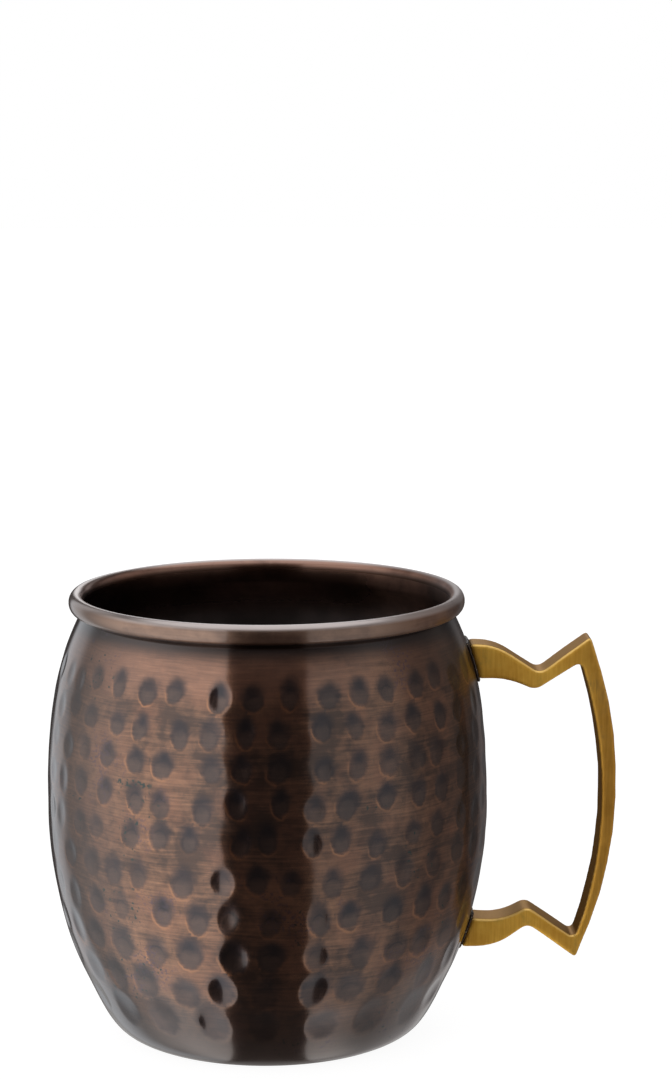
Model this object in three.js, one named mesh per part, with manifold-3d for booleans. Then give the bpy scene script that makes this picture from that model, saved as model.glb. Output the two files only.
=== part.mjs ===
// Hammered copper mug with a rolled rim and a cast brass handle.
//
// Millimetres, +Z up.  The origin is the centre of the flat base, on the cup's axis,
// and the handle points along +X.  The cup is one sheet of copper, spun to a barrel
// and rolled outwards at the rim.  The handle is one solid casting, a flat strap bent
// into two zigzag arms and a bowed grip, and a bead of braze holds each of its feet.

import * as THREE from 'three';
import { mergeVertices } from 'three/addons/utils/BufferGeometryUtils.js';
import Module from 'manifold-3d';

// Cup
const BELLY_RADIUS = 48;
const BELLY_HEIGHT = 51;
const HEEL_RADIUS = 41; // where the side turns into the bottom corner
const HEEL_HEIGHT = 14.8;
const BASE_RADIUS = 28; // the flat that the mug stands on
const NECK_RADIUS = 40.2; // outside of the wall, just under the rim
const NECK_HEIGHT = 92.8;
const WALL = 0.8; // sheet thickness
const ROUND_STEPS = 60; // flats round the cup
const SIDE_STEPS = 7; // points on each of the side's three curves

// How far each curve of the side keeps the direction that it has at its end
const BASE_LEAD = 6.3; // level, out from the base's edge
const HEEL_LEAD_DOWN = [6, 12.8]; // inwards and down from the heel
const HEEL_LEAD_UP = [3.6, 8]; // outwards and up from the heel
const BELLY_LEAD_DOWN = 16; // upright, down from the belly
const BELLY_LEAD_UP = 21.5; // and up
const NECK_LEAD = [4.9, 9.5]; // outwards and down from the neck

// Rolled rim: an upright oval ring of the same sheet, open underneath
const RIM_CENTRE_RADIUS = 41.3;
const RIM_CENTRE_HEIGHT = 94.9;
const RIM_HALF_WIDTH = 1.6;
const RIM_HALF_HEIGHT = 2.1;
const RIM_ROLL_END = THREE.MathUtils.degToRad(-115); // where the rolled edge stops
const RIM_STEPS = 9;

// Handle: a strap in the XZ plane, centred on y = 0
const STRAP_WIDTH = 8; // along Y
const FOOT_START = 36; // inside the cup, trimmed away with the cup's own outline
const UPPER_FOOT_TOP = 85.5;
const UPPER_FOOT_BOTTOM = 77.2;
const LOWER_FOOT_TOP = 24.7;
const LOWER_FOOT_BOTTOM = 17.5;
const GRIP_OUTER_BOW = 6.9; // how far the grip's edges bow out from straight
const GRIP_INNER_BOW = 3.8;
const CORNER_REACH = 1.6; // how far a soft corner starts from its point
const TIP_REACH = 0.7; // the two outer tips are sharper
const BEND_REACH = 4; // and the bends beside the feet are slow
const CURVE_STEPS = 5;
const GRIP_STEPS = 10;

// Braze
const JOINT_GAP = 0.3; // clearance between neighbouring solids
const BRAZE_THICKNESS = 0.6;
const BRAZE_OVERHANG = 0.6; // how far the bead shows past the foot's edges

const wasm = await Module();
wasm.setup();

const point = (x, y) => new THREE.Vector2(x, y);

// ---------------------------------------------------------------- materials

function metal(name, color, roughness) {
  return new THREE.MeshStandardMaterial({ name, color, roughness, metalness: 1 });
}

const agedCopper = metal('aged_copper', 0x5c3a28, 0.35);
const satinBrass = metal('satin_brass', 0x9c762f, 0.4);
const darkBraze = metal('dark_braze', 0x2b2420, 0.6);

// ---------------------------------------------------------------- solids

// A closed manifold solid from any closed geometry.
function solidOf(geometry) {
  const bare = geometry.clone();
  bare.deleteAttribute('normal');
  bare.deleteAttribute('uv');
  const merged = mergeVertices(bare, 1e-4);
  const corners = merged.index.array;
  const triVerts = [];
  for (let i = 0; i < corners.length; i += 3) {
    const [a, b, c] = corners.slice(i, i + 3);
    if (a !== b && b !== c && c !== a) {
      triVerts.push(a, b, c);
    }
  }
  return new wasm.Manifold(new wasm.Mesh({
    numProp: 3,
    vertProperties: new Float32Array(merged.attributes.position.array),
    triVerts: new Uint32Array(triVerts),
  }));
}

function geometryOf(solid) {
  const mesh = solid.getMesh();
  const geometry = new THREE.BufferGeometry();
  geometry.setAttribute('position', new THREE.BufferAttribute(mesh.vertProperties, mesh.numProp));
  geometry.setIndex(new THREE.BufferAttribute(mesh.triVerts, 1));
  geometry.computeVertexNormals();
  return geometry;
}

// Turn an outline of (radius, height) points round the Z axis.
function revolve(outline) {
  return new THREE.LatheGeometry(outline, ROUND_STEPS).rotateX(Math.PI / 2);
}

// Extrude an outline of (x, z) points to a width along Y, centred on y = 0.
function extrudeAcross(shape, width) {
  const settings = { depth: width, bevelEnabled: false, curveSegments: CURVE_STEPS };
  const slab = new THREE.ExtrudeGeometry(shape, settings);
  return slab.rotateX(Math.PI / 2).translate(0, width / 2, 0);
}

// ---------------------------------------------------------------- cup

// The outside of the wall from the edge of the base up to the neck, as (radius, height).
function wallOutline() {
  const side = new THREE.Path();
  side.moveTo(BASE_RADIUS, 0);
  side.bezierCurveTo(
    BASE_RADIUS + BASE_LEAD, 0,
    HEEL_RADIUS - HEEL_LEAD_DOWN[0], HEEL_HEIGHT - HEEL_LEAD_DOWN[1],
    HEEL_RADIUS, HEEL_HEIGHT,
  );
  side.bezierCurveTo(
    HEEL_RADIUS + HEEL_LEAD_UP[0], HEEL_HEIGHT + HEEL_LEAD_UP[1],
    BELLY_RADIUS, BELLY_HEIGHT - BELLY_LEAD_DOWN,
    BELLY_RADIUS, BELLY_HEIGHT,
  );
  side.bezierCurveTo(
    BELLY_RADIUS, BELLY_HEIGHT + BELLY_LEAD_UP,
    NECK_RADIUS + NECK_LEAD[0], NECK_HEIGHT - NECK_LEAD[1],
    NECK_RADIUS, NECK_HEIGHT,
  );
  return side.getPoints(SIDE_STEPS);
}

// The same outline moved outwards by a distance, or inwards by a negative one.
function offsetOutline(outline, distance) {
  return outline.map((here, i) => {
    const before = outline[Math.max(i - 1, 0)];
    const after = outline[Math.min(i + 1, outline.length - 1)];
    const along = i === 0 ? point(1, 0) : after.clone().sub(before).normalize();
    return here.clone().add(point(along.y, -along.x).multiplyScalar(distance));
  });
}

// Points on the rim's oval from one angle to another, inset into the sheet.
function rimOval(inset, from, to) {
  const points = [];
  for (let i = 0; i <= RIM_STEPS; i += 1) {
    const angle = THREE.MathUtils.lerp(from, to, i / RIM_STEPS);
    points.push(point(
      RIM_CENTRE_RADIUS + (RIM_HALF_WIDTH - inset) * Math.cos(angle),
      RIM_CENTRE_HEIGHT + (RIM_HALF_HEIGHT - inset) * Math.sin(angle),
    ));
  }
  return points;
}

function cupShell() {
  const outside = wallOutline();
  const inside = offsetOutline(outside, -WALL).reverse();
  const outline = [
    point(0, 0),
    ...outside,
    ...rimOval(WALL, Math.PI, RIM_ROLL_END),
    ...rimOval(0, RIM_ROLL_END, Math.PI),
    ...inside,
    point(0, WALL),
  ];
  return revolve(outline);
}

// The solid that the cup fills, grown all round by a margin.
function cupEnvelope(margin) {
  const side = offsetOutline(wallOutline(), margin);
  const top = side.at(-1).y;
  const bottom = side[0].y;
  return solidOf(revolve([point(0, bottom), ...side, point(0, top)]));
}

// ---------------------------------------------------------------- handle

// Line to just short of a corner, then a small curve round it towards the next point.
function softCorner(path, corner, next, reach) {
  const before = path.currentPoint;
  const start = corner.clone().lerp(before, reach / corner.distanceTo(before));
  const end = corner.clone().lerp(next, reach / corner.distanceTo(next));
  path.lineTo(start.x, start.y);
  path.quadraticCurveTo(corner.x, corner.y, end.x, end.y);
}

// A circular arc to the end point that bows out towards +X by a distance.
function bowTo(path, end, bow) {
  const start = path.currentPoint.clone();
  const chord = end.clone().sub(start);
  const radius = (chord.lengthSq() / 4 + bow * bow) / (2 * bow);
  const outwards = point(Math.abs(chord.y), -chord.x * Math.sign(chord.y)).normalize();
  const centre = start.clone().add(end).multiplyScalar(0.5).addScaledVector(outwards, bow - radius);
  const from = start.clone().sub(centre).angle();
  const turn = 2 * Math.asin(chord.length() / (2 * radius)) * Math.sign(chord.y);
  for (let i = 1; i <= GRIP_STEPS; i += 1) {
    const angle = from + (turn * i) / GRIP_STEPS;
    path.lineTo(centre.x + radius * Math.cos(angle), centre.y + radius * Math.sin(angle));
  }
}

function handleOutline() {
  const shape = new THREE.Shape();
  // Outer edge, from the upper foot round the grip to the lower foot
  const shoulder = point(49.6, UPPER_FOOT_TOP - 0.3);
  const upperNotch = point(59.2, 78.9);
  const upperTip = point(70.1, 86.9);
  const gripTop = point(70.5, 85.9);
  const gripBottom = point(68.2, 16);
  const lowerTip = point(67.7, 14.9);
  const lowerCrook = point(57.1, 22.6);
  const lowerHaunch = point(50, 17.6);
  shape.moveTo(FOOT_START, UPPER_FOOT_TOP);
  softCorner(shape, shoulder, upperNotch, BEND_REACH);
  softCorner(shape, upperNotch, upperTip, CORNER_REACH);
  softCorner(shape, upperTip, gripTop, TIP_REACH);
  bowTo(shape, gripBottom, GRIP_OUTER_BOW);
  softCorner(shape, lowerTip, lowerCrook, TIP_REACH);
  softCorner(shape, lowerCrook, lowerHaunch, CORNER_REACH);
  softCorner(shape, lowerHaunch, point(FOOT_START, LOWER_FOOT_BOTTOM), BEND_REACH);
  shape.lineTo(FOOT_START, LOWER_FOOT_BOTTOM);
  // Inner edge, from the lower foot back to the upper foot
  const lowerDip = point(51.3, 23.4);
  const lowerKnee = point(57, 26.5);
  const innerLower = point(67.4, 19.3);
  const innerGripBottom = point(69.4, 25.2);
  const innerGripTop = point(69, 78.2);
  const innerUpper = point(68.1, 81.4);
  const upperCrook = point(58.2, 75.1);
  const upperDip = point(51.8, 78);
  shape.lineTo(FOOT_START, LOWER_FOOT_TOP);
  softCorner(shape, lowerDip, lowerKnee, BEND_REACH);
  softCorner(shape, lowerKnee, innerLower, CORNER_REACH);
  softCorner(shape, innerLower, innerGripBottom, CORNER_REACH);
  shape.lineTo(innerGripBottom.x, innerGripBottom.y);
  bowTo(shape, innerGripTop, GRIP_INNER_BOW);
  softCorner(shape, innerUpper, upperCrook, CORNER_REACH);
  softCorner(shape, upperCrook, upperDip, CORNER_REACH);
  softCorner(shape, upperDip, point(FOOT_START, UPPER_FOOT_BOTTOM), BEND_REACH);
  shape.lineTo(FOOT_START, UPPER_FOOT_BOTTOM);
  return shape;
}

function handle() {
  const strap = solidOf(extrudeAcross(handleOutline(), STRAP_WIDTH));
  const clearance = JOINT_GAP + BRAZE_THICKNESS + JOINT_GAP;
  return geometryOf(strap.subtract(cupEnvelope(clearance)));
}

// A thin bead of braze between the cup's wall and one foot of the handle.
function brazeSeam(footBottom, footTop) {
  const height = footTop - footBottom + 2 * BRAZE_OVERHANG;
  const width = STRAP_WIDTH + 2 * BRAZE_OVERHANG;
  const length = BELLY_RADIUS - FOOT_START;
  const block = new THREE.BoxGeometry(length, width, height);
  block.translate(FOOT_START + length / 2, 0, (footTop + footBottom) / 2);
  const outside = cupEnvelope(JOINT_GAP + BRAZE_THICKNESS);
  return geometryOf(solidOf(block).intersect(outside).subtract(cupEnvelope(JOINT_GAP)));
}

// ---------------------------------------------------------------- assembly

function part(name, geometry, material) {
  const mesh = new THREE.Mesh(geometry, material);
  mesh.name = name;
  return mesh;
}

const mug = new THREE.Group();
mug.add(part('cup_shell', cupShell(), agedCopper));
mug.add(part('handle', handle(), satinBrass));
mug.add(part('upper_braze_seam', brazeSeam(UPPER_FOOT_BOTTOM, UPPER_FOOT_TOP), darkBraze));
mug.add(part('lower_braze_seam', brazeSeam(LOWER_FOOT_BOTTOM, LOWER_FOOT_TOP), darkBraze));

export default mug;
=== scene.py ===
"""Looks of the hammered copper mug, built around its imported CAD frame.

Metres, +Z up, the cup's axis on Z, its base at z = 0 and the handle towards +X.
"""

import math
import random

import bmesh
import bpy
import numpy as np
from mathutils import Euler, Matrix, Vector, noise


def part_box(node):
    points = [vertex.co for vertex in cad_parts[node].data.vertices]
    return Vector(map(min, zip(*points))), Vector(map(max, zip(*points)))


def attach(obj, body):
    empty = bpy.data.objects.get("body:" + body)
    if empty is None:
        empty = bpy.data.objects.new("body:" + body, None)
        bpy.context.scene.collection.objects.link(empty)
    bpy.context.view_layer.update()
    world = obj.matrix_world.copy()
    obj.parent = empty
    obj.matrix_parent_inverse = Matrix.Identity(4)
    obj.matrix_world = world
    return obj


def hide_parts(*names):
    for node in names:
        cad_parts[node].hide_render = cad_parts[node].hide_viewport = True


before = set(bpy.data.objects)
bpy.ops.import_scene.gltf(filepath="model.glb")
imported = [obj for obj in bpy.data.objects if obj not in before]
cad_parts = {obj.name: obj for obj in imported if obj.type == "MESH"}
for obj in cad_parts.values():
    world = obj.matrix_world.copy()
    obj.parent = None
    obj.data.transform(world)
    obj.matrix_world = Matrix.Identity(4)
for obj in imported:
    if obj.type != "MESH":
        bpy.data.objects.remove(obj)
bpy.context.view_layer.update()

MM = 0.001
CUP_LOW, CUP_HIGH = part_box("cup_shell")
BELLY_RADIUS = (CUP_HIGH.x - CUP_LOW.x) / 2
RIM_TOP = CUP_HIGH.z

# Outside of the cup's wall, as (radius, height)
BASE_RADIUS = 28 * MM
HEEL = (41 * MM, 14.8 * MM)
BELLY = (BELLY_RADIUS, 51 * MM)
NECK = (40.2 * MM, 92.8 * MM)
WALL = 0.8 * MM

# How far the outline's curves lead on from those points, as in the CAD
BASE_LEAD = 6.3 * MM  # level, out from the base's edge
HEEL_LEAD_DOWN = (6 * MM, 12.8 * MM)  # inwards and down
HEEL_LEAD_UP = (3.6 * MM, 8 * MM)  # outwards and up
BELLY_LEAD_DOWN = 16 * MM
BELLY_LEAD_UP = 21.5 * MM
NECK_LEAD = (4.9 * MM, 9.5 * MM)  # outwards and down
CURVE_POINTS = 200

# Rolled rim: an upright oval ring of sheet, open underneath
RIM_CENTRE = (41.3 * MM, RIM_TOP - 2.1 * MM)
RIM_HALF_WIDTH = 1.6 * MM
RIM_HALF_HEIGHT = 2.1 * MM
RIM_ROLL_END = math.radians(-115)
RIM_ARC = 9.5 * MM  # round the roll, from its open edge to the inside of the wall
INNER_SEAM = 0.05 * MM  # how far below the roll's inner edge the inside's colour starts

# Regions of the cup's surface, as its mesh tells its material
OUTSIDE, RIM, INSIDE = 0.0, 1.0, 2.0

# Mesh density of the cup
OUTER_COLUMNS = 440
INNER_COLUMNS = OUTER_COLUMNS // 2
OUTER_ROWS = 150
INNER_ROWS = 84
RIM_ROWS = 20
ROLL_ROWS = 7
ROLL_ROW_STEP = 0.5 * MM

# Hammer marks, in rows up the wall: fewer and larger near the base
MARK_SEED = 11
MARK_ROWS = 10
FIRST_MARK_ROW = 17.8 * MM  # along the wall from the edge of the base
LAST_MARK_ROW = 90.2 * MM
MARKS_IN_TOP_ROW = 38
MARKS_LEFT_OUT_AT_BASE = 16
MARK_HALF_WIDTH = 2.7 * MM
MARK_HALF_HEIGHT = 3.5 * MM
MARK_DEPTH = 0.17 * MM
MARK_DRIFT = 0.75 * MM  # how far a mark strays from its place round the cup
MARK_RISE = 0.5 * MM  # and up or down
ROW_CROWDING = 0.12  # how much wider apart the lowest rows lie, and closer the highest
LEFT_OUT_POWER = 4.5  # how quickly rows fill up above the base
ROW_TURN = 0.12  # how much further round each row starts, in marks
ROWS_TURNED_FREELY = 4  # the lowest rows, which start anywhere
TOP_MARK_SCALE = 0.86
BASE_MARK_GAIN = 0.5
INSIDE_MARK_SHARE = 0.7  # how much of a mark shows as a bump inside
BOWL_POWER = 1.25  # of a mark's section, 1 being a parabola
MEETING = 4  # how sharply two marks that touch meet
LEAST_REACH = 0.05  # a mark's directions fade this close to its centre
NO_MARK = 2.0  # distance to the nearest mark, in its own radii, where there is none
PLAIN_MARK = (NO_MARK, 0.0, 0.0)

# Slow unevenness of the hand-worked sheet, as (noise scale, height)
SHEET_WAVES = ((70, 0.17 * MM), (190, 0.05 * MM))
SHEET_INSET = 0.06 * MM  # holds their crests to under 0.1 mm outside the CAD's outline
SETTLE = 4 * MM  # the wall's first stretch, over which the marks and waves fade in

# A row of green-black specks at the left of the front, as (x, distance along the wall)
STAIN = (-27.5 * MM, 71 * MM)
STAIN_HALF_WIDTH = 4.5 * MM
STAIN_HALF_HEIGHT = 0.9 * MM

# The cast handle
HANDLE_ROUNDING = 2.1 * MM
HANDLE_VOXEL = 0.34 * MM
HANDLE_WEAR = 8  # smoothing passes
HANDLE_WAVES = (150, 0.12 * MM)  # noise scale, height

# The handle's feet and the braze under them, as the CAD leaves them and as they look
FOOT_PULL = 0.7 * MM  # how much nearer the wall a foot really comes
FOOT_PULL_DEPTH = 3 * MM  # over which that pull fades out
FOOT_GAP = 1.2 * MM  # between wall and foot in the CAD
BEAD_GAP = 0.3 * MM  # between wall and bead in the CAD
BEAD_SINK = 0.25 * MM  # how much nearer the wall the bead comes
BEAD_FLATTEN = 0.17  # share taken off its thickness
BEAD_TRIM = 0.09  # share taken off its height and width
BEAD_VOXEL = 0.18 * MM
BEAD_WEAR = 2
BEAD_LUMPS = ((900, 0.15 * MM), (380, 0.15 * MM))  # noise scale, height
BEAD_BLOB = 0.6 * MM  # how steeply it swells at its top end
BEAD_BLOB_START = 0.7  # of the way from its middle to its top

# Camera, as in the studio view of the mug
CAMERA_DISTANCE = 0.5878
CAMERA_HEIGHT = 0.2006
CAMERA_TURN = math.radians(1.46)
CAMERA_TILT = math.radians(8.97)
CAMERA_LENS = 91.7
CAMERA_SENSOR = 36.0

# Light panels round the mug, in degrees from the camera's side towards the handle's:
# azimuth from, its softness, azimuth to, its softness, elevation from, to, colour
PANELS = (
    (-113, 36, 0, 0.5, -110, 38, (1.42, 1.39, 1.38)),
    (-150, 8, 0, 0.5, -110, -66, (1.05, 1.03, 1.02)),
    (0, 0.5, 96, 38, -110, 34, (0.61, 0.60, 0.60)),
    (88, 14, 132, 8, -40, 40, (0.44, 0.38, 0.355)),
    (94, 16, 172, 5, -110, -35, (0.41, 0.40, 0.40)),
    (0, 0.5, 172, 5, -110, -62, (0.95, 0.94, 0.93)),
    (-156, 4, -130, 7, -70, 40, (0.64, 0.66, 0.69)),
    (144, 4, 164, 3, -70, -16, (0.42, 0.40, 0.40)),
    (147, 3, 157, 3, -16, 40, (0.36, 0.34, 0.34)),
)
PANEL_SOFTNESS = 8  # of a panel's upper and lower edges
FLOOR_RADIUS = 4.0
FLOOR_DROP = 0.02 * MM  # keeps the floor clear of the mug's base


# ------------------------------------------------------------------ the wall's outline


def bezier(start, first, second, end):
    t = np.linspace(0, 1, CURVE_POINTS)[:, None]
    points = [np.array(p) for p in (start, first, second, end)]
    u = 1 - t
    return (
        u**3 * points[0]
        + 3 * u**2 * t * points[1]
        + 3 * u * t**2 * points[2]
        + t**3 * points[3]
    )


def wall_profile():
    """Dense (radius, height) points of the wall's outside, from the base's edge to the neck."""
    corner = bezier(
        (BASE_RADIUS, 0),
        (BASE_RADIUS + BASE_LEAD, 0),
        (HEEL[0] - HEEL_LEAD_DOWN[0], HEEL[1] - HEEL_LEAD_DOWN[1]),
        HEEL,
    )
    lower = bezier(
        HEEL,
        (HEEL[0] + HEEL_LEAD_UP[0], HEEL[1] + HEEL_LEAD_UP[1]),
        (BELLY[0], BELLY[1] - BELLY_LEAD_DOWN),
        BELLY,
    )
    upper = bezier(
        BELLY,
        (BELLY[0], BELLY[1] + BELLY_LEAD_UP),
        (NECK[0] + NECK_LEAD[0], NECK[1] - NECK_LEAD[1]),
        NECK,
    )
    return np.vstack([corner, lower[1:], upper[1:]])


PROFILE = wall_profile()
PROFILE_STEPS = np.hypot(*np.diff(PROFILE, axis=0).T)
PROFILE_AT = np.concatenate([[0], np.cumsum(PROFILE_STEPS)])
WALL_LENGTH = PROFILE_AT[-1]


def wall_point(along):
    """(radius, height) on the wall's outside at a distance along it."""
    return np.array([np.interp(along, PROFILE_AT, PROFILE[:, i]) for i in (0, 1)])


def wall_normal(along):
    """Outward (radius, height) direction of the wall at a distance along it."""
    step = 0.4 * MM
    ahead = wall_point(min(along + step, WALL_LENGTH))
    behind = wall_point(max(along - step, 0))
    direction = (ahead - behind) / np.linalg.norm(ahead - behind)
    return np.array([direction[1], -direction[0]])


# ------------------------------------------------------------------ node helpers


class Shader:
    """A short way to write one material's or world's node tree."""

    def __init__(self, owner):
        owner.use_nodes = True
        self.tree = owner.node_tree
        self.tree.nodes.clear()

    def node(self, kind, **settings):
        made = self.tree.nodes.new(kind)
        for name, value in settings.items():
            setattr(made, name, value)
        return made

    def put(self, socket, value):
        if isinstance(value, bpy.types.NodeSocket):
            self.tree.links.new(value, socket)
        else:
            socket.default_value = value

    def math(self, operation, a, b=0.0, c=0.0, clamp=False):
        made = self.node("ShaderNodeMath", operation=operation, use_clamp=clamp)
        for socket, value in zip(made.inputs, (a, b, c)):
            self.put(socket, value)
        return made.outputs[0]

    def product(self, first, *rest):
        for value in rest:
            first = self.math("MULTIPLY", first, value)
        return first

    def add(self, total, *parts):
        """total, plus each value times its weight."""
        for value, weight in parts:
            total = self.math("MULTIPLY_ADD", value, weight, total)
        return total

    def sway(self, start, *parts):
        """start, moved by each noise's distance from its middle times its weight."""
        total = start
        for value, weight in parts:
            total = self.math("MULTIPLY_ADD", self.math("SUBTRACT", value, 0.5), weight, total)
        return self.math("ADD", total, 0.0, clamp=True)

    def length(self, x, y):
        """How far (x, y) lies from the origin."""
        square = self.math("MULTIPLY_ADD", x, x, self.math("MULTIPLY", y, y))
        return self.math("SQRT", square)

    def split(self, vector):
        made = self.node("ShaderNodeSeparateXYZ")
        self.put(made.inputs[0], vector)
        return tuple(made.outputs)

    def joined(self, *values):
        made = self.node("ShaderNodeCombineXYZ")
        for socket, value in zip(made.inputs, values):
            self.put(socket, value)
        return made.outputs[0]

    def coordinates(self, kind):
        return self.node("ShaderNodeTexCoord").outputs[kind]

    def attribute(self, name):
        return self.node("ShaderNodeAttribute", attribute_name=name).outputs["Vector"]

    def remap(self, value, low, high, to_low=0.0, to_high=1.0):
        """A smooth step of value from low to high, levelling off beyond them."""
        made = self.node("ShaderNodeMapRange", interpolation_type="SMOOTHSTEP")
        for name, number in zip(
            ("Value", "From Min", "From Max", "To Min", "To Max"),
            (value, low, high, to_low, to_high),
        ):
            self.put(made.inputs[name], number)
        return made.outputs["Result"]

    def mix(self, factor, a, b, blend="MIX"):
        made = self.node("ShaderNodeMix", data_type="RGBA", blend_type=blend)
        self.put(made.inputs["Factor"], factor)
        self.put(made.inputs["A"], a)
        self.put(made.inputs["B"], b)
        return made.outputs["Result"]

    def noise(self, vector, scale, detail=2.0, roughness=0.5, distortion=0.0):
        made = self.node("ShaderNodeTexNoise")
        self.put(made.inputs["Vector"], vector)
        for name, number in (
            ("Scale", scale),
            ("Detail", detail),
            ("Roughness", roughness),
            ("Distortion", distortion),
        ):
            made.inputs[name].default_value = number
        return made.outputs["Fac"]

    def stretch(self, vector, scale, rotation=(0.0, 0.0, 0.0)):
        made = self.node("ShaderNodeMapping")
        self.put(made.inputs["Vector"], vector)
        made.inputs["Scale"].default_value = scale
        made.inputs["Rotation"].default_value = rotation
        return made.outputs["Vector"]

    def bump(self, height, distance, strength=1.0, normal=None):
        made = self.node("ShaderNodeBump")
        made.inputs["Strength"].default_value = strength
        made.inputs["Distance"].default_value = distance
        self.put(made.inputs["Height"], height)
        if normal is not None:
            self.put(made.inputs["Normal"], normal)
        return made.outputs["Normal"]

    def metal(self, color, roughness, normal):
        made = self.node("ShaderNodeBsdfPrincipled")
        made.inputs["Metallic"].default_value = 1.0
        self.put(made.inputs["Base Color"], color)
        self.put(made.inputs["Roughness"], roughness)
        self.put(made.inputs["Normal"], normal)
        output = self.node("ShaderNodeOutputMaterial")
        self.put(output.inputs["Surface"], made.outputs["BSDF"])
        return made


def rgb(red, green, blue):
    return (red, green, blue, 1.0)


# ------------------------------------------------------------------ colours

# The cup's wall, outside
PATINA = rgb(0.068, 0.041, 0.031)
BUFFED_COPPER = rgb(0.245, 0.130, 0.078)
RED_PATINA = rgb(0.165, 0.078, 0.050)
WARM_COPPER = rgb(0.28, 0.148, 0.102)
GREY_PATINA = rgb(0.078, 0.064, 0.059)
SCUFFED_COPPER = rgb(0.152, 0.127, 0.116)
# Painted shade near the handle and on the side opposite it, and a painted shadow under the rim
HANDLE_SHADE = rgb(0.046, 0.032, 0.028)
FAR_SHADE = rgb(0.078, 0.050, 0.044)
RIM_SHADE = rgb(0.022, 0.019, 0.020)

# Its hammer marks and tarnish
SLATE = rgb(0.026, 0.020, 0.023)
BUFFED_SLATE = rgb(0.070, 0.048, 0.044)
FLAT_BROWN = rgb(0.110, 0.078, 0.064)
# Painted shade in the marks' upper parts: a blue-black brow and a black arc
BROW_SHADE_BLUE = rgb(0.016, 0.015, 0.022)
ARC_SHADE_BLACK = rgb(0.02, 0.018, 0.022)
# Bright copper on the marks' lower left lips, partly buffed, partly a painted highlight
LIP_HIGHLIGHT_COPPER = rgb(0.34, 0.165, 0.085)
BLOOM_PURPLE = rgb(0.07, 0.05, 0.075)
SPECK_GREEN = rgb(0.02, 0.036, 0.033)

# Its rim and its inside
RIM_PATINA = rgb(0.145, 0.092, 0.070)
RIM_COPPER = rgb(0.25, 0.158, 0.112)
# A painted highlight along the rim's crest
CREST_HIGHLIGHT_GREY = rgb(0.47, 0.41, 0.39)
INNER_PATINA = rgb(0.19, 0.10, 0.072)
INNER_COPPER = rgb(0.34, 0.19, 0.138)
INNER_SHADE = rgb(0.075, 0.040, 0.028)
INSIDE_PATINA = rgb(0.090, 0.052, 0.040)
INSIDE_COPPER = rgb(0.165, 0.092, 0.068)
INSIDE_GREY = rgb(0.125, 0.108, 0.106)

# The handle and the braze
ARM_BROWN = rgb(0.80, 0.43, 0.064)
ARM_GOLD = rgb(1.0, 0.65, 0.122)
GRIP_BROWN = rgb(0.47, 0.24, 0.040)
GRIP_GOLD = rgb(0.66, 0.36, 0.066)
BRASS_STAIN = rgb(0.30, 0.18, 0.065)
# The handle's brown sides, painted lighter where they face up and darker elsewhere
SHADED_SIDE_BROWN = rgb(0.20, 0.105, 0.030)
LIT_TOP_BROWN = rgb(0.34, 0.185, 0.072)
# A painted highlight on the handle's upward-facing rounded edges
BEVEL_HIGHLIGHT_BRASS = rgb(1.0, 0.70, 0.24)
# Painted shade on the handle's faces turned towards the cup
CUP_FACING_SHADE_BROWN = rgb(0.11, 0.052, 0.012)
BRAZE_BLACK = rgb(0.02, 0.017, 0.016)
BRAZE_GREY = rgb(0.11, 0.09, 0.08)
RUBBED_BRAZE = rgb(0.75, 0.62, 0.42)

# The studio
DIM = rgb(0.05, 0.044, 0.043)
GAP = rgb(0.112, 0.090, 0.083)
TABLE = rgb(0.50, 0.49, 0.48)
BRIGHT = rgb(1.15, 1.15, 1.17)


# ------------------------------------------------------------------ materials


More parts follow.
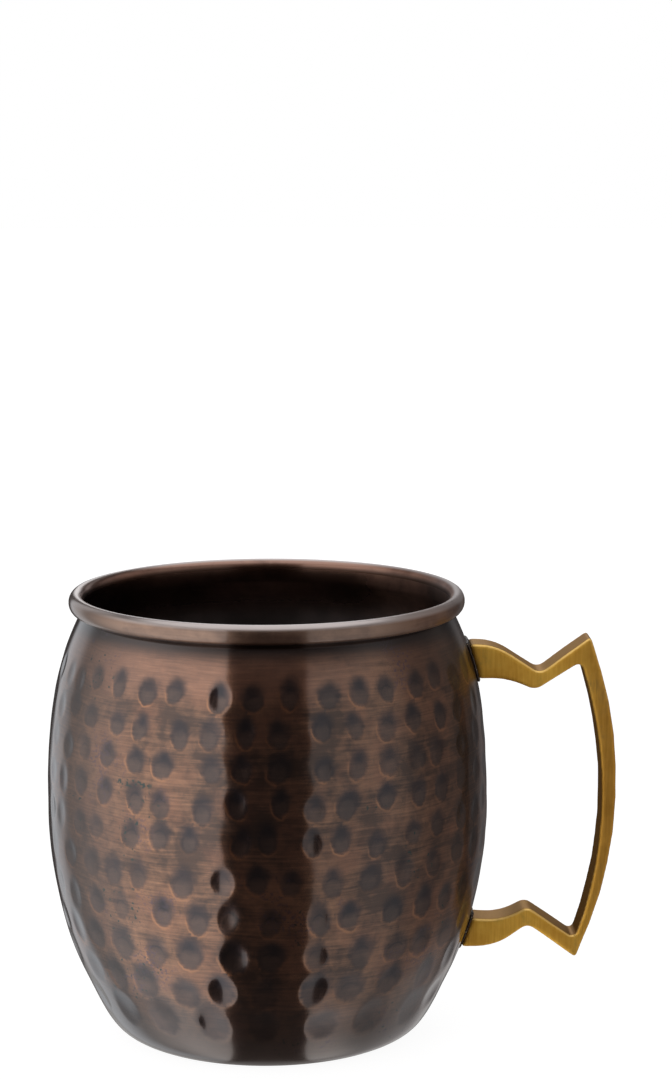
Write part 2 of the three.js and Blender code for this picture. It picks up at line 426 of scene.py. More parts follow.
class CopperShader(Shader):
    """The copper's node tree, and the values that its colour, gloss and relief share.

    The mesh carries "mark", which is how far a point lies from the nearest hammer mark's
    centre in that mark's own radii, then its direction round and up from that centre,
    and "lay", which is the distance along the wall, the region and the mark's strength.
    """

    def __init__(self, owner):
        super().__init__(owner)
        self.place = self.coordinates("Object")
        self.x, self.y, _ = self.split(self.place)
        self.to_handle = self.math("DIVIDE", self.x, self.length(self.x, self.y))
        self.reach, self.around, self.up = self.split(self.attribute("mark"))
        self.along, self.region, self.strength = self.split(self.attribute("lay"))
        self.lay_out_regions()
        self.lay_out_patina()
        self.lay_out_marks()

    def lay_out_regions(self):
        self.rim = self.product(
            self.remap(self.region, 0.4, 0.6), self.remap(self.region, 1.6, 1.4)
        )
        self.inside = self.remap(self.region, 1.4, 1.6)
        self.near_rim = self.remap(self.along, 87 * MM, 93 * MM)
        self.deep_inside = self.remap(self.along, 99 * MM, 88 * MM)
        self.off_base = self.remap(self.along, 22 * MM, 32 * MM, 0.3, 1.0)
        self.behind_handle = self.product(
            self.remap(self.to_handle, 0.44, 0.82), self.remap(self.along, 24 * MM, 40 * MM)
        )
        # How far over the rim, from its open edge to the inside of the wall
        turn = self.math("DIVIDE", self.math("SUBTRACT", self.along, WALL_LENGTH), RIM_ARC)
        self.turn = self.math("MAXIMUM", turn, self.remap(self.region, 1.01, 1.1))

    def lay_out_patina(self):
        """Noise of several sizes, lines round the cup, and where they were buffed."""
        self.cloud = self.noise(self.place, 40, 3.0, 0.5)
        self.blotch = self.noise(self.place, 110, 3.0, 0.6)
        self.mottle = self.noise(self.place, 300, 3.0, 0.6, 0.4)
        wandering = self.math("MULTIPLY_ADD", self.cloud, 2.2 * MM, self.along)
        wrapped = self.joined(self.x, self.y, wandering)
        self.lines = self.noise(self.stretch(wrapped, (100, 100, 2300)), 1.0, 3.0, 0.6)
        self.fine_lines = self.noise(self.stretch(wrapped, (160, 160, 6500)), 1.0, 2.0, 0.6)
        start = self.math("MULTIPLY_ADD", self.near_rim, 0.35, 0.46)
        self.buffed = self.sway(
            start, (self.lines, 1.1), (self.cloud, 2.5), (self.mottle, 1.7), (self.blotch, 1.6)
        )

    def lay_out_marks(self):
        """Each mark's hollow, soft above and crisp below, and its flat low in it."""
        ragged = self.math("SUBTRACT", self.mottle, 0.5)
        self.ragged = self.math("MULTIPLY_ADD", ragged, 0.55, self.reach)
        upper = self.remap(self.up, -0.6, 0.7)
        outer_edge = self.math("MULTIPLY_ADD", upper, 0.42, 1.08)
        softness = self.math("MULTIPLY_ADD", upper, 0.5, 0.34)
        depth = self.math("SUBTRACT", outer_edge, self.ragged)
        depth = self.math("DIVIDE", depth, softness, clamp=True)
        self.hollow = self.product(self.remap(depth, 0.0, 1.0), self.strength)
        self.sideways = self.product(self.around, self.ragged)
        self.upwards = self.product(self.up, self.ragged)
        self.off_flat = self.length(self.sideways, self.math("ADD", self.upwards, 0.26))


def between_marks(sh):
    """Brown patina between the marks, buffed to warm copper in patches and lines."""
    color = sh.mix(sh.buffed, PATINA, BUFFED_COPPER)
    color = sh.mix(sh.remap(sh.blotch, 0.42, 0.72, 0.0, 0.6), color, RED_PATINA)
    warmer = sh.product(sh.near_rim, sh.remap(sh.to_handle, 0.1, 0.6, 0.56, 0.16))
    color = sh.mix(warmer, color, WARM_COPPER)
    color = sh.mix(1.0, color, sh.remap(sh.lines, 0.3, 0.7, 0.89, 1.10), "MULTIPLY")
    color = sh.mix(sh.remap(sh.along, 34 * MM, 10 * MM, 0.0, 0.8), color, GREY_PATINA)
    return sh.mix(sh.remap(sh.along, 16 * MM, 7 * MM, 0.0, 0.8), color, SCUFFED_COPPER)


def slate_marks(sh, color):
    """Slate in each mark, browner on the hammer's flat, with a brow and an arc of painted shade
    on its upper part.
    """
    slate = sh.mix(sh.buffed, SLATE, BUFFED_SLATE)
    color = sh.mix(sh.product(sh.hollow, 0.88), color, slate)
    flat = sh.product(sh.hollow, sh.remap(sh.off_flat, 0.76, 0.44, 0.0, 0.33), sh.off_base)
    color = sh.mix(flat, color, FLAT_BROWN)
    half_width = sh.remap(sh.upwards, 0.0, 1.3, 1.05, 0.72)
    narrow = sh.math("DIVIDE", sh.math("ABSOLUTE", sh.sideways), half_width)
    # painted shade over the upper part of each mark
    brow_shade = sh.product(
        sh.remap(sh.upwards, -0.22, 0.34),
        sh.remap(narrow, 1.05, 0.0),
        sh.remap(sh.reach, 1.28, 0.6),
        sh.remap(sh.blotch, 0.36, 0.6, 0.4, 0.95),
        sh.off_base,
        sh.strength,
    )
    color = sh.mix(brow_shade, color, BROW_SHADE_BLUE)
    # painted shade in an arc above the hammer's flat
    arc_shade = sh.product(
        sh.remap(sh.off_flat, 0.50, 0.57),
        sh.remap(sh.off_flat, 0.72, 0.60),
        sh.remap(sh.upwards, -0.1, 0.2, 0.0, 0.6),
        sh.remap(sh.cloud, 0.42, 0.55),
        sh.off_base,
    )
    return sh.mix(arc_shade, color, ARC_SHADE_BLACK)


def paint_lip_highlights(sh, color):
    """The marks' lower left lips, bright copper here and there: partly buffed copper, partly a
    painted highlight.
    """
    turned = sh.math("MULTIPLY_ADD", sh.up, -0.86, sh.product(sh.around, -0.50))
    lip_highlight = sh.product(
        sh.remap(sh.ragged, 0.96, 1.05),
        sh.remap(sh.ragged, 1.25, 1.07),
        sh.remap(turned, 0.05, 0.95, 0.0, 0.66),
        sh.remap(sh.blotch, 0.38, 0.62, 0.06, 1.0),
        sh.strength,
        sh.remap(sh.along, 20 * MM, 34 * MM, 0.1, 1.0),
    )
    return sh.mix(lip_highlight, color, LIP_HIGHLIGHT_COPPER)


def painted_wall_shade(sh, color):
    """Painted shade on the wall: near the handle, on the side opposite it, and a painted
    shadow, partly dark patina, under the rim.
    """
    # painted shade near the handle, heavier towards the rim
    shade = sh.math("MULTIPLY_ADD", sh.near_rim, 0.42, 0.28)
    color = sh.mix(sh.product(sh.behind_handle, shade), color, HANDLE_SHADE)
    # painted shade on the side opposite the handle
    opposite = sh.remap(sh.to_handle, -0.52, -0.80, 0.0, 0.36)
    opposite = sh.product(opposite, sh.remap(sh.along, 26 * MM, 40 * MM))
    color = sh.mix(opposite, color, FAR_SHADE)
    # painted shadow under the rim's roll
    under_rim = sh.remap(sh.along, 96 * MM, 100 * MM, 0.0, 0.92)
    under_rim = sh.product(under_rim, sh.math("LESS_THAN", sh.region, 0.5))
    return sh.mix(under_rim, color, RIM_SHADE)


def rim_color(sh):
    """Brighter copper with a painted grey highlight along the crest, and painted shade down the
    rim's inner side.
    """
    color = sh.mix(sh.buffed, RIM_PATINA, RIM_COPPER)
    # painted highlight along the crest, weaker at the left end
    crest_highlight = sh.product(
        sh.remap(sh.turn, 0.46, 0.55),
        sh.remap(sh.turn, 0.86, 0.76),
        sh.remap(sh.x, -42 * MM, -22 * MM, 0.2, 1.0),
    )
    color = sh.mix(crest_highlight, color, CREST_HIGHLIGHT_GREY)
    inner = sh.mix(sh.buffed, INNER_PATINA, INNER_COPPER)
    inner = sh.mix(sh.remap(sh.turn, 0.86, 0.98), inner, INNER_SHADE)
    return sh.mix(sh.remap(sh.turn, 0.74, 0.84), color, inner)


def inside_color(sh):
    """Dark copper, greyer further down."""
    color = sh.mix(sh.buffed, INSIDE_PATINA, INSIDE_COPPER)
    return sh.mix(sh.deep_inside, color, INSIDE_GREY)


def tarnish(sh, color):
    """A bloom of fine purple-black dots, and a few green-black specks."""
    bloom = sh.product(
        sh.remap(sh.cloud, 0.53, 0.62),
        sh.remap(sh.blotch, 0.48, 0.58),
        sh.remap(sh.noise(sh.place, 1500, 2.0), 0.5, 0.62),
        sh.remap(sh.region, 0.4, 0.2, 0.0, 0.6),
    )
    color = sh.mix(bloom, color, BLOOM_PURPLE)
    specks = sh.product(
        sh.remap(sh.noise(sh.place, 1100, 1.0, 0.4), 0.69, 0.72),
        sh.remap(sh.noise(sh.place, 46, 1.0), 0.6, 0.66),
    )
    off_stain = sh.length(
        sh.math("DIVIDE", sh.math("SUBTRACT", sh.x, STAIN[0]), STAIN_HALF_WIDTH),
        sh.math("DIVIDE", sh.math("SUBTRACT", sh.along, STAIN[1]), STAIN_HALF_HEIGHT),
    )
    stain = sh.product(
        sh.remap(off_stain, 1.1, 0.6),
        sh.math("LESS_THAN", sh.y, 0.0),
        sh.remap(sh.noise(sh.place, 1300, 1.0), 0.54, 0.58),
    )
    specks = sh.math("MAXIMUM", specks, stain)
    specks = sh.product(specks, sh.remap(sh.region, 0.4, 0.2))
    return sh.mix(specks, color, SPECK_GREEN)


def copper_relief(sh):
    """Brush lines, a fine mottle and the step round each mark's flat."""
    normal = sh.bump(sh.lines, 0.02 * MM, 0.7)
    normal = sh.bump(sh.fine_lines, 0.008 * MM, 0.6, normal)
    normal = sh.bump(sh.mottle, 0.02 * MM, 0.4, normal)
    step = sh.product(sh.remap(sh.off_flat, 0.8, 0.4), sh.remap(sh.reach, 1.0, 0.8))
    return sh.bump(step, 0.014 * MM, 1.0, normal)


def aged_copper():
    """Lacquered copper, its dark patina buffed off the high spots in lines round the cup."""
    material = bpy.data.materials.new("aged_copper")
    sh = CopperShader(material)
    color = between_marks(sh)
    color = slate_marks(sh, color)
    # partly buffed copper, partly a painted highlight on the marks' lower left lips
    color = paint_lip_highlights(sh, color)
    # painted shade at the handle, opposite it and under the rim
    color = painted_wall_shade(sh, color)
    color = sh.mix(sh.rim, color, rim_color(sh))
    color = sh.mix(sh.inside, color, inside_color(sh))
    color = tarnish(sh, color)
    roughness = sh.add(
        0.17,
        (sh.hollow, 0.03),
        (sh.mottle, 0.06),
        (sh.rim, 0.10),
        (sh.behind_handle, 0.24),
        (sh.product(sh.inside, sh.deep_inside), 0.28),
    )
    made = sh.metal(color, roughness, copper_relief(sh))
    made.inputs["Anisotropic"].default_value = 0.82
    made.inputs["Anisotropic Rotation"].default_value = 0.25
    tangent = sh.node("ShaderNodeTangent", direction_type="RADIAL", axis="Z")
    sh.put(made.inputs["Tangent"], tangent.outputs[0])
    dull = sh.product(sh.rim, sh.remap(sh.turn, 0.84, 0.96))
    dull = sh.math("MAXIMUM", sh.math("MAXIMUM", dull, sh.inside), sh.behind_handle)
    sh.put(made.inputs["Coat Weight"], sh.math("MULTIPLY_ADD", dull, -0.68, 0.85))
    made.inputs["Coat Roughness"].default_value = 0.07
    return material


def brass_color(sh, place, cloud, upright, slant):
    """Golden arms and a browner grip, brown on the sides, with painted light on their tops,
    painted shade elsewhere and a painted highlight on the upward-facing rounded edges.
    """
    tone = sh.math("MULTIPLY_ADD", cloud, 0.6, sh.product(upright, 0.4))
    tone = sh.remap(tone, 0.33, 0.67)
    arms = sh.mix(tone, ARM_BROWN, ARM_GOLD)
    grip = sh.mix(tone, GRIP_BROWN, GRIP_GOLD)
    color = sh.mix(sh.remap(sh.split(place)[0], 62 * MM, 76 * MM), arms, grip)
    stain = sh.product(sh.remap(cloud, 0.52, 0.68), sh.remap(slant, 0.4, 0.62), 0.55)
    color = sh.mix(stain, color, BRASS_STAIN)
    _, facing_y, facing_z = sh.split(sh.coordinates("Normal"))
    facing_y = sh.math("ABSOLUTE", facing_y)
    # brown sides, painted lighter where they face up and darker where they don't
    lit_and_shaded_sides = sh.mix(sh.remap(facing_z, 0.2, 0.8), SHADED_SIDE_BROWN, LIT_TOP_BROWN)
    color = sh.mix(sh.remap(facing_y, 0.62, 0.05, 0.0, 0.8), color, lit_and_shaded_sides)
    # painted highlight where the rounded edges face up
    worn = sh.product(
        sh.remap(facing_y, 0.2, 0.45),
        sh.remap(facing_y, 0.98, 0.8),
        sh.remap(facing_z, 0.05, 0.4, 0.0, 0.9),
    )
    return sh.mix(worn, color, BEVEL_HIGHLIGHT_BRASS)


def satin_brass():
    """Cast brass, hand-finished with fine files, with painted shade on its faces turned towards
    the cup.
    """
    material = bpy.data.materials.new("satin_brass")
    sh = Shader(material)
    place = sh.coordinates("Object")
    upright = sh.noise(sh.stretch(place, (1900, 500, 110), (0.0, 0.25, 0.0)), 1.0, 3.0, 0.6)
    slant = sh.noise(sh.stretch(place, (500, 400, 120), (0.0, 0.5, 0.0)), 1.0, 3.0, 0.6)
    cloud = sh.noise(place, 120, 4.0, 0.6)
    grain = sh.noise(place, 900, 3.0, 0.6)

    color = brass_color(sh, place, cloud, upright, slant)
    # painted shade, dark brown and barely metallic, on the faces turned towards the cup
    to_cup = sh.remap(sh.split(sh.coordinates("Normal"))[0], -0.75, -0.95, 0.0, 0.9)
    color = sh.mix(to_cup, color, CUP_FACING_SHADE_BROWN)
    roughness = sh.add(0.50, (cloud, 0.12), (to_cup, 0.2))
    normal = sh.bump(upright, 0.03 * MM, 0.5)
    normal = sh.bump(slant, 0.03 * MM, 0.4, normal)
    normal = sh.bump(grain, 0.02 * MM, 0.35, normal)
    made = sh.metal(color, roughness, normal)
    made.inputs["Specular IOR Level"].default_value = 0.0
    sh.put(made.inputs["Metallic"], sh.math("MULTIPLY_ADD", to_cup, -0.95, 1.0))
    return material


def dark_braze():
    """Blackened brazing metal with a few bright, rubbed specks."""
    material = bpy.data.materials.new("dark_braze")
    sh = Shader(material)
    place = sh.coordinates("Object")
    lumps = sh.noise(place, 900, 4.0, 0.65)
    specks = sh.noise(place, 1500, 2.0, 0.5)
    color = sh.mix(lumps, BRAZE_BLACK, BRAZE_GREY)
    color = sh.mix(sh.remap(specks, 0.66, 0.72), color, RUBBED_BRAZE)
    sh.metal(color, sh.add(0.3, (lumps, 0.3)), sh.bump(lumps, 0.15 * MM, 0.8))
    return material


def white_floor():
    """A white, evenly lit studio table."""
    material = bpy.data.materials.new("white_floor")
    sh = Shader(material)
    made = sh.node("ShaderNodeBsdfPrincipled")
    tone = sh.remap(sh.noise(sh.coordinates("Object"), 6.0, 2.0), 0.2, 0.8, 0.13, 0.16)
    sh.put(made.inputs["Base Color"], sh.mix(tone, rgb(0, 0, 0), rgb(1, 1, 1)))
    made.inputs["Roughness"].default_value = 0.8
    made.inputs["Emission Color"].default_value = rgb(1, 1, 1)
    made.inputs["Emission Strength"].default_value = 0.94
    output = sh.node("ShaderNodeOutputMaterial")
    sh.put(output.inputs["Surface"], made.outputs["BSDF"])
    return material


# ------------------------------------------------------------------ cup


def hammer_marks():
    """Each mark's place, size, depth, lean, tilt and strength, row by row up the wall."""
    dice = random.Random(MARK_SEED)
    marks = []
    for row in range(MARK_ROWS):
        share = row / (MARK_ROWS - 1)
        spread = share * (1 + ROW_CROWDING - ROW_CROWDING * share)
        level = FIRST_MARK_ROW + spread * (LAST_MARK_ROW - FIRST_MARK_ROW)
        radius = wall_point(level)[0]
        left_out = MARKS_LEFT_OUT_AT_BASE * (1 - share) ** LEFT_OUT_POWER
        count = round(MARKS_IN_TOP_ROW - left_out)
        size = TOP_MARK_SCALE + BASE_MARK_GAIN * (1 - share) ** 3
        start = dice.random() if row < ROWS_TURNED_FREELY else ROW_TURN * row
        for k in range(count):
            mark = {
                "along": level + dice.gauss(0, MARK_RISE),
                "angle": 2 * math.pi * (k + start) / count
                + dice.gauss(0, MARK_DRIFT) / radius,
                "half_width": MARK_HALF_WIDTH * size * dice.uniform(0.88, 1.12),
                "half_height": MARK_HALF_HEIGHT * size * dice.uniform(0.85, 1.1),
                "depth": MARK_DEPTH * size**2 * dice.uniform(0.7, 1.35),
                "lean": dice.gauss(0, 0.15),
                "tilt": dice.uniform(-0.35, 0.35),
                "strength": min(1.0, dice.uniform(0.68, 1.25)),
            }
            marks.append(mark)
    return marks


def ramp(value, low, high):
    """0 below low, 1 above high and straight between them."""
    return min(1.0, max(0.0, (value - low) / (high - low)))


def column_angles(columns):
    return np.arange(columns) * 2 * math.pi / columns


def dent_field(alongs, columns, marks):
    """Marks on a grid of rows along the wall by columns round it.

    Gives the depth, the "mark" vector and the strength of the nearest mark.
    """
    angles = column_angles(columns)
    radii = np.array([wall_point(a)[0] for a in alongs])
    depth = np.zeros((len(alongs), columns))
    reach = np.full_like(depth, NO_MARK)
    around = np.zeros_like(depth)
    up = np.zeros_like(depth)
    strength = np.ones_like(depth)
    for mark in marks:
        span = NO_MARK * max(mark["half_width"], mark["half_height"])
        rows = np.nonzero(np.abs(alongs - mark["along"]) < span)[0]
        if len(rows) == 0:
            continue
        turn = (angles - mark["angle"] + math.pi) % (2 * math.pi) - math.pi
        across = turn[None, :] * radii[rows, None]
        near = np.nonzero(np.abs(across).min(axis=0) < span)[0]
        grid = np.ix_(rows, near)
        x = across[:, near]
        y = (alongs[rows] - mark["along"])[:, None] + 0 * x
        cos_lean, sin_lean = math.cos(mark["lean"]), math.sin(mark["lean"])
        u = (x * cos_lean + y * sin_lean) / mark["half_width"]
        v = (y * cos_lean - x * sin_lean) / mark["half_height"]
        away = np.hypot(u, v)
        bowl = np.clip(1 - away**2, 0, 1) ** BOWL_POWER
        bowl *= mark["depth"] * (1 + mark["tilt"] * u)
        depth[grid] = (depth[grid] ** MEETING + bowl**MEETING) ** (1 / MEETING)
        closer = away < reach[grid]
        safe = np.maximum(away, LEAST_REACH)
        reach[grid] = np.where(closer, away, reach[grid])
        around[grid] = np.where(closer, u / safe, around[grid])
        up[grid] = np.where(closer, v / safe, up[grid])
        strength[grid] = np.where(closer, mark["strength"], strength[grid])
    return depth, np.dstack([reach, around, up]), strength


def sheet_waver(alongs, columns):
    """A slow unevenness of the hand-worked sheet, in metres."""
    angles = column_angles(columns)
    waver = np.zeros((len(alongs), columns))
    for i, along in enumerate(alongs):
        radius = wall_point(along)[0]
        fade = ramp(along, 6 * MM, 16 * MM) * ramp(WALL_LENGTH - along, 4 * MM, 12 * MM)
        for j, angle in enumerate(angles):
            spot = Vector((radius * math.cos(angle), radius * math.sin(angle), along))
            waver[i, j] = sum(noise.noise(spot * rate) * height for rate, height in SHEET_WAVES)
        waver[i] *= fade
    return waver


class RingStack:
    """Builds one closed mesh from rings of vertices, each joined to the ring before it."""

    def __init__(self):
        self.points = []
        self.mark = []
        self.lay = []
        self.faces = []
        self.last = None

    def tip(self, height, lay):
        self.points.append((0.0, 0.0, height))
        self.mark.append(PLAIN_MARK)
        self.lay.append(lay)
        return len(self.points) - 1

    def ring(self, radii, heights, marks, lays):
        count = len(radii)
        first = len(self.points)
        angles = column_angles(count)
        self.points += list(zip(radii * np.cos(angles), radii * np.sin(angles), heights))
        self.mark += list(marks)
        self.lay += list(lays)
        here = list(range(first, first + count))
        self.join(here)
        self.last = here

    def plain_ring(self, radius, height, count, lay):
        marks = [PLAIN_MARK] * count
        self.ring(np.full(count, radius), np.full(count, height), marks, [lay] * count)

    def join(self, here):
        before = self.last
        if isinstance(before, int):
            for i, index in enumerate(here):
                self.faces.append((before, here[(i + 1) % len(here)], index))
            return
        fine, coarse = len(before), len(here)
        if fine == coarse:
            for i in range(fine):
                j = (i + 1) % fine
                self.faces.append((before[i], before[j], here[j], here[i]))
        elif fine == 2 * coarse:
            for i in range(coarse):
                j = (i + 1) % coarse
                a, b, c = before[2 * i], before[2 * i + 1], before[(2 * i + 2) % fine]
                self.faces += [(a, b, here[i]), (b, here[j], here[i]), (b, c, here[j])]
        else:
            for i in range(fine):
                j = (i + 1) % fine
                a, b, c = here[2 * i], here[2 * i + 1], here[(2 * i + 2) % coarse]
                self.faces += [(before[i], b, a), (before[i], before[j], b), (before[j], c, b)]

    def close(self, height, lay):
        before = self.last
        end = self.tip(height, lay)
        for i, index in enumerate(before):
            self.faces.append((index, before[(i + 1) % len(before)], end))

    def mesh(self, name):
        made = bpy.data.meshes.new(name)
        made.from_pydata([tuple(p) for p in self.points], [], self.faces)
        made.validate()
        made.update()
        for label, values in (("mark", self.mark), ("lay", self.lay)):
            layer = made.attributes.new(label, "FLOAT_VECTOR", "POINT")
            layer.data.foreach_set("vector", np.array(values, float).ravel())
        made.shade_smooth()
        return made


def rim_oval(inset, angle):
    return (
        RIM_CENTRE[0] + (RIM_HALF_WIDTH - inset) * math.cos(angle),
        RIM_CENTRE[1] + (RIM_HALF_HEIGHT - inset) * math.sin(angle),
    )


def wall_rings(stack, alongs, columns, marks, inset, dent_share, region):
    """The wall's rings at a depth below its outside, dented by the hammer marks."""
    upwards = np.sort(alongs)
    dents, marked, strength = dent_field(upwards, columns, marks)
    waver = sheet_waver(upwards, columns)
    if alongs[0] > alongs[-1]:
        dents, marked, strength = dents[::-1], marked[::-1], strength[::-1]
        waver = waver[::-1]
    for i, along in enumerate(alongs):
        radius, height = wall_point(along)
        normal = wall_normal(along)
        settle = min(1.0, along / SETTLE)
        inwards = inset + settle * (dent_share * dents[i] + waver[i] + SHEET_INSET)
        lays = [(along, region, value) for value in strength[i]]
        radii = radius - inwards * normal[0]
        heights = height - inwards * normal[1]
        stack.ring(radii, heights, [tuple(m) for m in marked[i]], lays)


def hammered_cup():
    marks = hammer_marks()
    stack = RingStack()

    # Base, from the axis outwards
    stack.last = stack.tip(0.0, (-BASE_RADIUS, OUTSIDE, 1.0))
    for share, thinning in ((0.12, 8), (0.25, 8), (0.45, 4), (0.7, 2), (0.9, 1)):
        lay = ((share - 1) * BASE_RADIUS, OUTSIDE, 1.0)
        stack.plain_ring(BASE_RADIUS * share, 0.0, OUTER_COLUMNS // thinning, lay)

    alongs = np.linspace(0, WALL_LENGTH, OUTER_ROWS)
    wall_rings(stack, alongs, OUTER_COLUMNS, marks, 0.0, 1.0, OUTSIDE)

    # Rolled rim: up inside the roll, round its end and over the top
    for k in range(ROLL_ROWS):
        angle = math.pi + (RIM_ROLL_END - math.pi) * k / (ROLL_ROWS - 1)
        along = WALL_LENGTH + k * ROLL_ROW_STEP
        stack.plain_ring(*rim_oval(WALL, angle), INNER_COLUMNS, (along, OUTSIDE, 1.0))
    for k in range(RIM_ROWS):
        share = k / (RIM_ROWS - 1)
        angle = RIM_ROLL_END + (math.pi - RIM_ROLL_END) * share
        along = WALL_LENGTH + share * RIM_ARC
        stack.plain_ring(*rim_oval(0, angle), INNER_COLUMNS, (along, RIM, 1.0))
    inner_radius, inner_height = rim_oval(0, math.pi)
    lay = (WALL_LENGTH, INSIDE, 1.0)
    stack.plain_ring(inner_radius, inner_height - INNER_SEAM, INNER_COLUMNS, lay)

    alongs = np.linspace(WALL_LENGTH, 0, INNER_ROWS)
    wall_rings(stack, alongs, INNER_COLUMNS, marks, WALL, INSIDE_MARK_SHARE, INSIDE)
    for share, thinning in ((0.7, 2), (0.35, 4)):
        lay = ((share - 1) * BASE_RADIUS, INSIDE, 1.0)
        stack.plain_ring(BASE_RADIUS * share, WALL, INNER_COLUMNS // thinning, lay)
    stack.close(WALL, (-BASE_RADIUS, INSIDE, 1.0))

    cup = bpy.data.objects.new("hammered_cup", stack.mesh("hammered_cup"))
    bpy.context.scene.collection.objects.link(cup)
    return cup


# ------------------------------------------------------------------ handle and braze


def cad_copy(node, name):
    """A new object with the shape of a CAD node, its triangles joined into flat faces."""
    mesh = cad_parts[node].data.copy()
    mesh.materials.clear()
    mesh.name = name
    work = bmesh.new()
    work.from_mesh(mesh)
    bmesh.ops.remove_doubles(work, verts=work.verts, dist=0.001 * MM)
    bmesh.ops.dissolve_limit(
        work, angle_limit=math.radians(0.5), verts=work.verts, edges=work.edges
    )
    work.to_mesh(mesh)
    work.free()
    piece = bpy.data.objects.new(name, mesh)
    bpy.context.scene.collection.objects.link(piece)
    return piece


def soften(piece, voxel, passes):
    """Gives a piece an even fine mesh with its edges worn round."""
    remesh = piece.modifiers.new("even", "REMESH")
    remesh.mode = "VOXEL"
    remesh.voxel_size = voxel
    smooth = piece.modifiers.new("worn", "SMOOTH")
    smooth.factor = 0.5
    smooth.iterations = passes
    graph = bpy.context.evaluated_depsgraph_get()
    made = bpy.data.meshes.new_from_object(piece.evaluated_get(graph))
    piece.modifiers.clear()
    piece.data = made
    made.name = piece.name
    made.shade_smooth()


def wall_gap(co):
    """How far outside the cup's smooth wall a point is, measured level."""
    return math.hypot(co.x, co.y) - np.interp(co.z, PROFILE[:, 1], PROFILE[:, 0])


def move(piece, offset):
    """Moves each vertex by offset(position, normal), a vector in metres."""
    mesh = piece.data
    moved = [v.co + offset(v.co, v.normal) for v in mesh.vertices]
    mesh.vertices.foreach_set("co", np.array(moved, float).ravel())
    mesh.update()


def cast_handle():
    handle = cad_copy("handle", "cast_handle")
    work = bmesh.new()
    work.from_mesh(handle.data)
    sides = [face for face in work.faces if abs(face.normal.y) > 0.99]
    rims = list({edge for face in sides for edge in face.edges})
    bmesh.ops.bevel(
        work,
        geom=rims,
        offset=HANDLE_ROUNDING,
        segments=6,
        profile=0.5,
        affect="EDGES",
        clamp_overlap=True,
    )
    work.to_mesh(handle.data)
    work.free()
    soften(handle, HANDLE_VOXEL, HANDLE_WEAR)

    def close_up(co, normal):
        nearness = 1 - (wall_gap(co) - FOOT_GAP) / FOOT_PULL_DEPTH
        return Vector((-FOOT_PULL * min(1.0, max(0.0, nearness)), 0, 0))

    def roughen(co, normal):
        rate, height = HANDLE_WAVES
        return normal * (noise.noise(co * rate) * height)

    move(handle, close_up)
    move(handle, roughen)
    return handle


def braze_bead(node, name):
    bead = cad_copy(node, name)
    soften(bead, BEAD_VOXEL, BEAD_WEAR)
    low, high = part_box(node)
    middle = (low.z + high.z) / 2

    def squeeze(co, normal):
        inwards = BEAD_SINK + BEAD_FLATTEN * (wall_gap(co) - BEAD_GAP)
        return Vector((-inwards, -BEAD_TRIM * co.y, -BEAD_TRIM * (co.z - middle)))

    def swell(co, normal):
        blob = max(0.0, (co.z - middle) / (high.z - middle) - BEAD_BLOB_START)
        lumps = sum(noise.noise(co * rate) * height for rate, height in BEAD_LUMPS)
        return normal * (lumps + blob * BEAD_BLOB)

    move(bead, squeeze)
    move(bead, swell)
    return bead


# ------------------------------------------------------------------ studio


def window(sh, value, low, low_soft, high, high_soft):
    """1 between low and high, fading to 0 over the given softness at each."""
    rise = sh.remap(value, low - low_soft, low + low_soft)
    fall = sh.remap(value, high - high_soft, high + high_soft, 1.0, 0.0)
    return sh.product(rise, fall)


def studio_light(sh):
    """Panels, the dark gap at the camera, the table and wall behind, and the light above."""
    x, y, z = sh.split(sh.coordinates("Generated"))
    azimuth = sh.math("ARCTAN2", x, sh.product(y, -1.0))
    azimuth = sh.product(azimuth, 180 / math.pi)
    off_front = sh.math("ABSOLUTE", azimuth)
    elevation = sh.product(sh.math("ARCSINE", z), 180 / math.pi)

    light = DIM
    for low, low_soft, high, high_soft, bottom, top, color in PANELS:
        across = window(sh, azimuth, low, low_soft, high, high_soft)
        upright = window(sh, elevation, bottom, PANEL_SOFTNESS, top, PANEL_SOFTNESS)
        light = sh.mix(sh.product(across, upright), light, rgb(*color))

    # The dark gap in front, a wedge that narrows as it passes under the mug
    half_width = sh.math("MULTIPLY_ADD", y, -0.163, 0.227)
    gap = sh.remap(sh.math("DIVIDE", sh.math("ABSOLUTE", x), half_width), 1.05, 0.95)
    light = sh.mix(gap, light, GAP)

    # The table behind the mug, seen in the turn of its base
    table = sh.product(
        sh.remap(off_front, 148, 164),
        window(sh, elevation, -80, 8, -24, 6),
        sh.remap(gap, 0.0, 1.0, 1.0, 0.5),
    )
    light = sh.mix(table, light, TABLE)

    # The white wall behind it and the light overhead
    behind = sh.product(sh.remap(off_front, 163, 176), sh.remap(elevation, 2, 10))
    overhead = sh.remap(z, 0.66, 0.84)
    return sh.mix(sh.math("MAXIMUM", behind, overhead), light, BRIGHT)


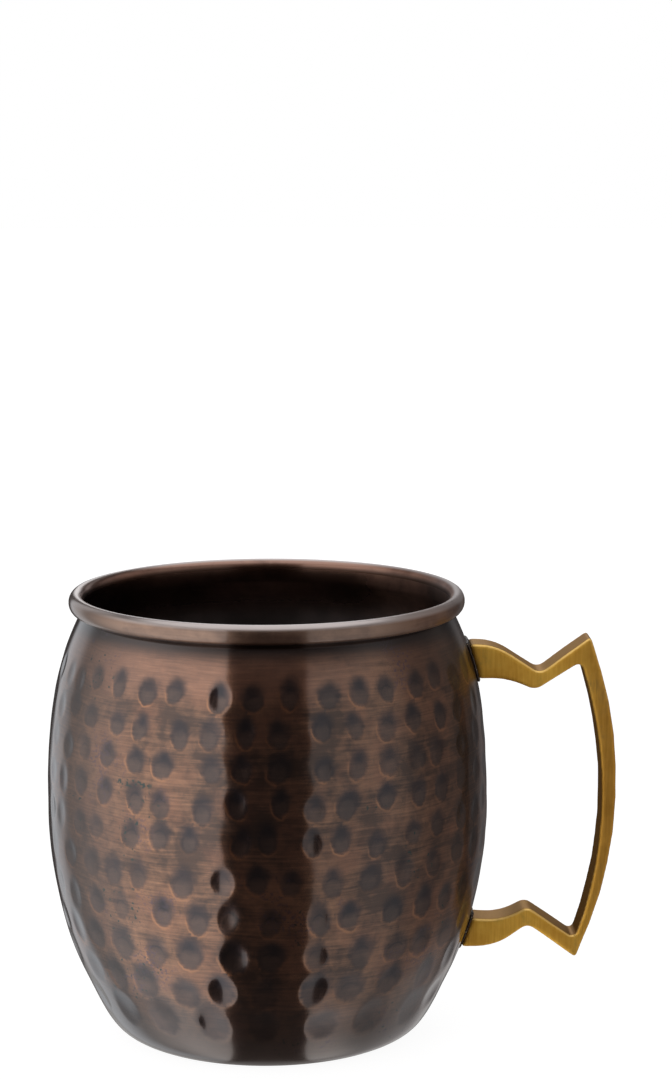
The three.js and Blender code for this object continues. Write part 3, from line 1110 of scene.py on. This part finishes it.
def studio_world():
    """The studio's light, and plain white where the camera looks past the mug."""
    world = bpy.data.worlds.new("studio")
    bpy.context.scene.world = world
    sh = Shader(world)
    studio = sh.node("ShaderNodeBackground")
    sh.put(studio.inputs["Color"], studio_light(sh))
    backdrop = sh.node("ShaderNodeBackground")
    backdrop.inputs["Color"].default_value = rgb(1, 1, 1)
    chooser = sh.node("ShaderNodeMixShader")
    sh.put(chooser.inputs[0], sh.node("ShaderNodeLightPath").outputs["Is Camera Ray"])
    sh.put(chooser.inputs[1], studio.outputs[0])
    sh.put(chooser.inputs[2], backdrop.outputs[0])
    output = sh.node("ShaderNodeOutputWorld")
    sh.put(output.inputs["Surface"], chooser.outputs[0])


def floor():
    mesh = bpy.data.meshes.new("floor")
    work = bmesh.new()
    bmesh.ops.create_circle(work, cap_ends=True, segments=96, radius=FLOOR_RADIUS)
    work.to_mesh(mesh)
    work.free()
    made = bpy.data.objects.new("floor", mesh)
    bpy.context.scene.collection.objects.link(made)
    made.location.z = -FLOOR_DROP
    mesh.materials.append(white_floor())
    made.visible_glossy = False


def camera():
    data = bpy.data.cameras.new("camera")
    data.sensor_width = CAMERA_SENSOR
    data.lens = CAMERA_LENS
    data.clip_end = 20
    made = bpy.data.objects.new("camera", data)
    made.location = (0, -CAMERA_DISTANCE, CAMERA_HEIGHT)
    made.rotation_euler = Euler((math.pi / 2 - CAMERA_TILT, 0, -CAMERA_TURN))
    bpy.context.scene.collection.objects.link(made)
    bpy.context.scene.camera = made


def dress(piece, material, slot, *nodes):
    piece.data.materials.clear()
    piece.data.materials.append(material)
    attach(piece, "root")
    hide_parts(*nodes)


# ------------------------------------------------------------------ scene

bpy.context.scene.view_settings.view_transform = "Standard"
camera()
studio_world()
floor()

dress(hammered_cup(), aged_copper(), "aged_copper", "cup_shell")
dress(cast_handle(), satin_brass(), "satin_brass", "handle")
braze = dark_braze()
for which in ("upper", "lower"):
    node = which + "_braze_seam"
    dress(braze_bead(node, which + "_braze_bead"), braze, "dark_braze", node)
